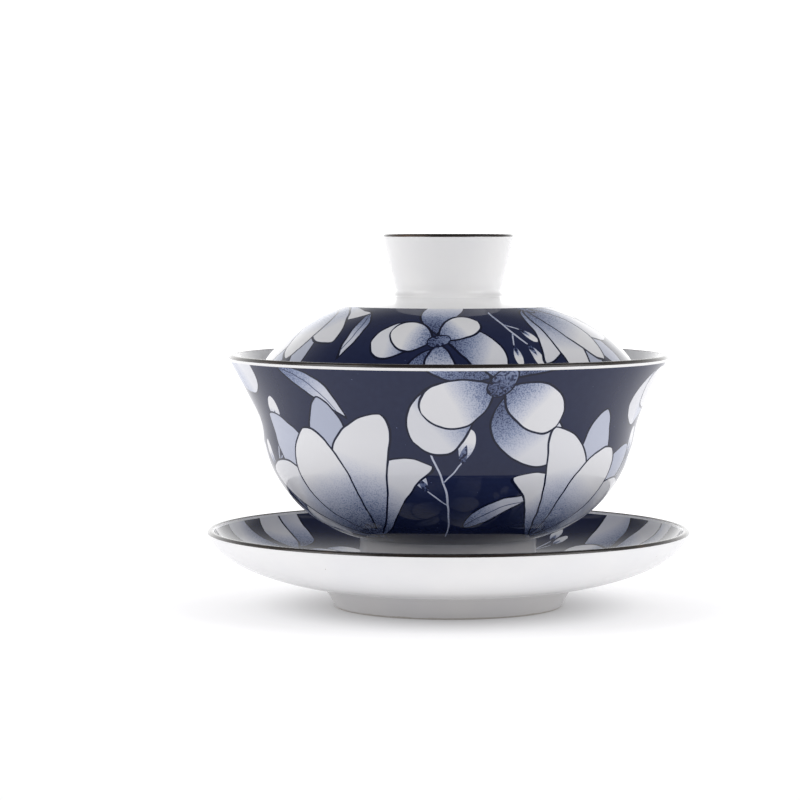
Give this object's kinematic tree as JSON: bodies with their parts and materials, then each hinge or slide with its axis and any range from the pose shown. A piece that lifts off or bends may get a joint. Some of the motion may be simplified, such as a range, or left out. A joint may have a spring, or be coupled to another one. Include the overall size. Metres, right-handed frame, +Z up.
{
  "type": "gaiwan",
  "caption": "Lidded porcelain tea bowl on a footed saucer: flared bowl, domed lid that rests inside its mouth and lifts out by a hollow ring knob.",
  "frame": {"origin": "centre of the saucer's foot, on the surface that the gaiwan stands on", "axes": "+Z up along the turning axis of all three pieces; the shape is the same all round, and -Y is the side shown as the front"},
  "size_m": [0.11, 0.11, 0.085],
  "materials": {
    "saucer_porcelain": "clear glossy glaze over white porcelain",
    "saucer_foot_porcelain": "clear glossy glaze over white porcelain, with the standing edge wiped bare",
    "saucer_print": "navy ground with pale blue and white floral print under glossy glaze",
    "bowl_porcelain": "clear glossy glaze over white porcelain",
    "bowl_foot_porcelain": "clear glossy glaze over white porcelain, with the standing edge wiped bare",
    "bowl_print": "navy ground with pale blue and white floral print under glossy glaze",
    "lid_porcelain": "clear glossy glaze over white porcelain",
    "knob_porcelain": "clear glossy glaze over white porcelain",
    "lid_print": "navy ground with pale blue and white floral print under glossy glaze",
    "edge_line": "iron-brown line brushed over the lip and fired into the glaze"
  },
  "bodies": {
    "saucer": {"saucer_dish": "saucer_porcelain", "saucer_foot_ring": "saucer_foot_porcelain", "saucer_print": "saucer_print", "saucer_edge_line": "edge_line"},
    "bowl": {"bowl_wall": "bowl_porcelain", "bowl_foot_ring": "bowl_foot_porcelain", "bowl_print": "bowl_print", "bowl_edge_line": "edge_line"},
    "lid": {"lid_dome": "lid_porcelain", "lid_knob_ring": "knob_porcelain", "lid_print": "lid_print", "knob_edge_line": "edge_line"}
  },
  "joints": [
    {"name": "bowl_lift", "type": "slide", "parent": "saucer", "child": "bowl", "axis": [0, 0, 1], "range_m": [0, 0.05]},
    {"name": "lid_lift", "type": "slide", "parent": "bowl", "child": "lid", "axis": [0, 0, 1], "range_m": [0, 0.05]}
  ]
}
